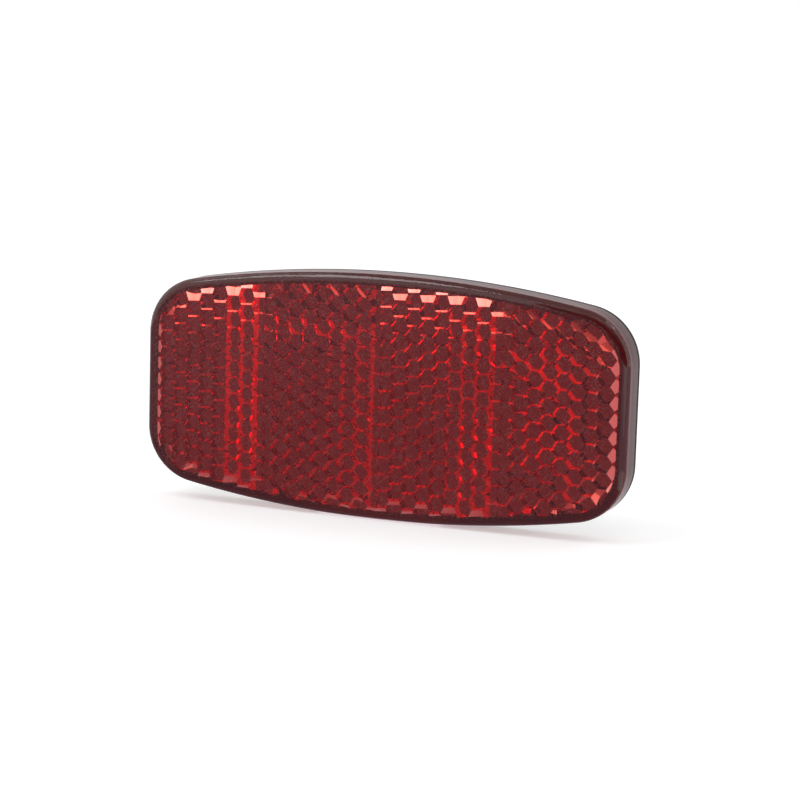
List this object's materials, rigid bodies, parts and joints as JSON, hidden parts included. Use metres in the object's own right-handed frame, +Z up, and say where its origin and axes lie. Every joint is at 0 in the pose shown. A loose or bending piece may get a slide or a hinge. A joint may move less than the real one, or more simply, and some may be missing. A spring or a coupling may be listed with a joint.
{
  "type": "rack reflector",
  "caption": "Wide red bicycle rack reflector with bulging long edges, a zoned hexagonal corner-cube lens and a black back with mounting studs.",
  "frame": {"origin": "midway between the two stud axes, on the plane where the bosses seat on the rack", "axes": "+X along the width, +Y along the studs towards the rack, +Z up; the reflecting face looks along -Y"},
  "size_m": [0.0962, 0.0242, 0.0464],
  "materials": {
    "red_polycarbonate": "clear red moulded polycarbonate, polished",
    "black_abs": "black moulded plastic, fine satin",
    "zinc_plated_steel": "bright zinc-plated steel"
  },
  "bodies": {
    "root": {"reflector_lens": "red_polycarbonate", "back_housing": "black_abs", "mounting_studs": "zinc_plated_steel"}
  },
  "joints": []
}
